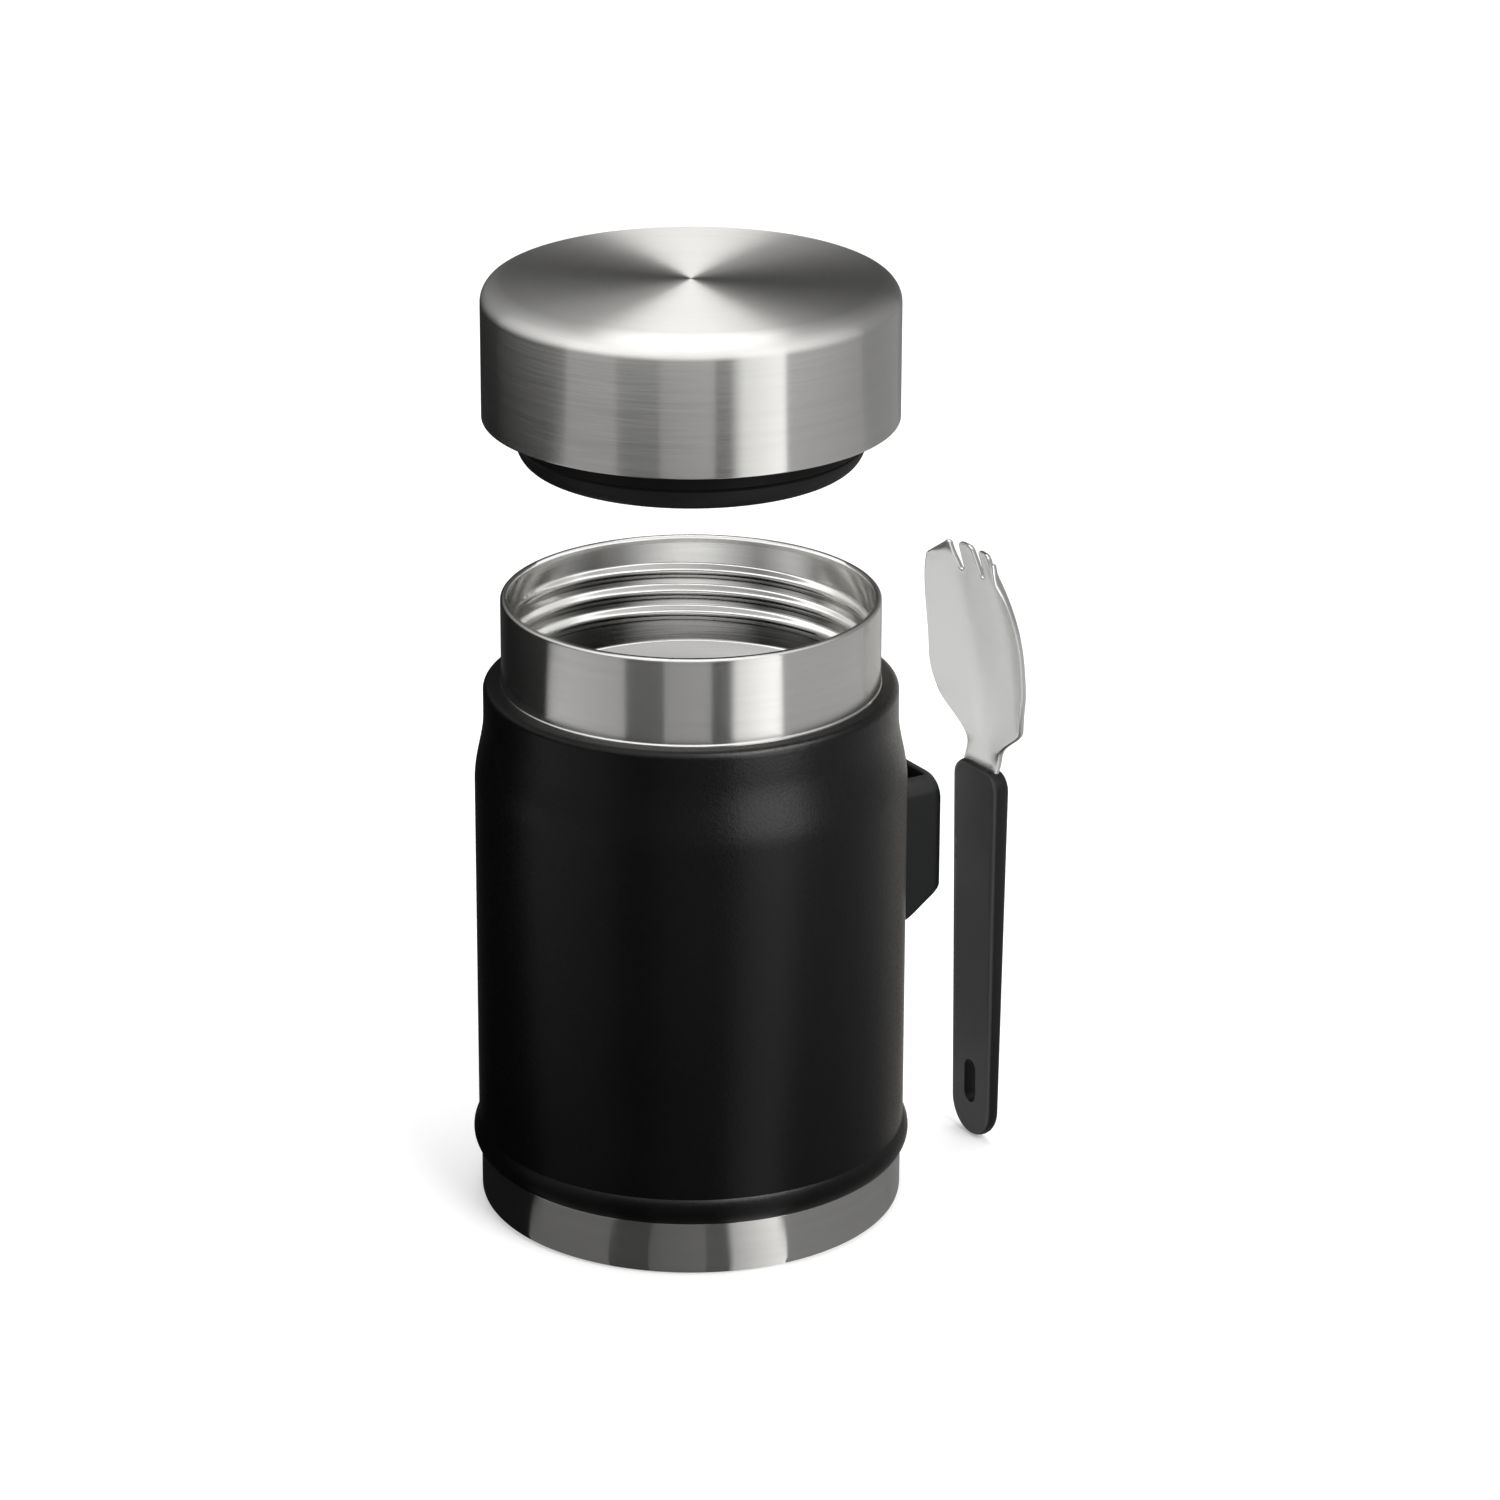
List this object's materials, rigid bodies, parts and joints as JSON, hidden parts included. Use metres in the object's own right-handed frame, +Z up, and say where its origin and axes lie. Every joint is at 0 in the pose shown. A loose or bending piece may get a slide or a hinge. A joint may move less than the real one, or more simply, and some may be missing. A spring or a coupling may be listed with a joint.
{
  "type": "insulated food jar",
  "caption": "Vacuum insulated steel food jar with a screw lid lifted off its threaded mouth and a spork that is kept in a side holder.",
  "frame": {"origin": "centre of the foot ring's plane, on the jar's axis", "axes": "+Z up along the jar's axis, +X out through the middle of the spork holder"},
  "size_m": [0.1132, 0.0902, 0.1964],
  "materials": {
    "coating": "fine satin powder coat",
    "brushed_steel": "brushed round the axis",
    "polished_steel": "polished",
    "plain_steel": "plain",
    "foil": "bright",
    "black_plastic": "satin",
    "handle_plastic": "satin",
    "silicone": "satin",
    "foam": "matt",
    "adhesive": "matt"
  },
  "bodies": {
    "jar": {"outer_shell": "coating", "neck_band": "brushed_steel", "inner_liner": "polished_steel", "liner_bottom": "polished_steel", "heat_foil": "foil", "shell_bottom": "plain_steel", "getter": "plain_steel", "seal_bead": "adhesive", "base_bond": "adhesive", "base_cup": "brushed_steel", "holder_plate": "plain_steel", "spork_holder": "black_plastic"},
    "lid_seal": {"lid_gasket": "silicone"},
    "lid": {"lid_shell": "brushed_steel", "lid_plug": "black_plastic", "lid_foam": "foam", "lid_bond": "adhesive"},
    "spork": {"spork_head": "polished_steel", "spork_handle": "handle_plastic"}
  },
  "joints": [
    {"name": "lid_lift", "type": "slide", "parent": "jar", "child": "lid_seal", "axis": [0, 0, 1], "range_m": [-0.0552, 0]},
    {"name": "lid_turn", "type": "hinge", "parent": "lid_seal", "child": "lid", "pos_m": [0, 0, 0.17], "axis": [0, 0, 1], "range_deg": [-4320, 0]},
    {"name": "spork_lift", "type": "slide", "parent": "jar", "child": "spork", "axis": [0, 0, 1], "range_m": [0, 0.086]}
  ],
  "couplings": [
    {"joint": "lid_lift", "follows": "lid_turn", "m_per_rad": 0.00073211}
  ]
}
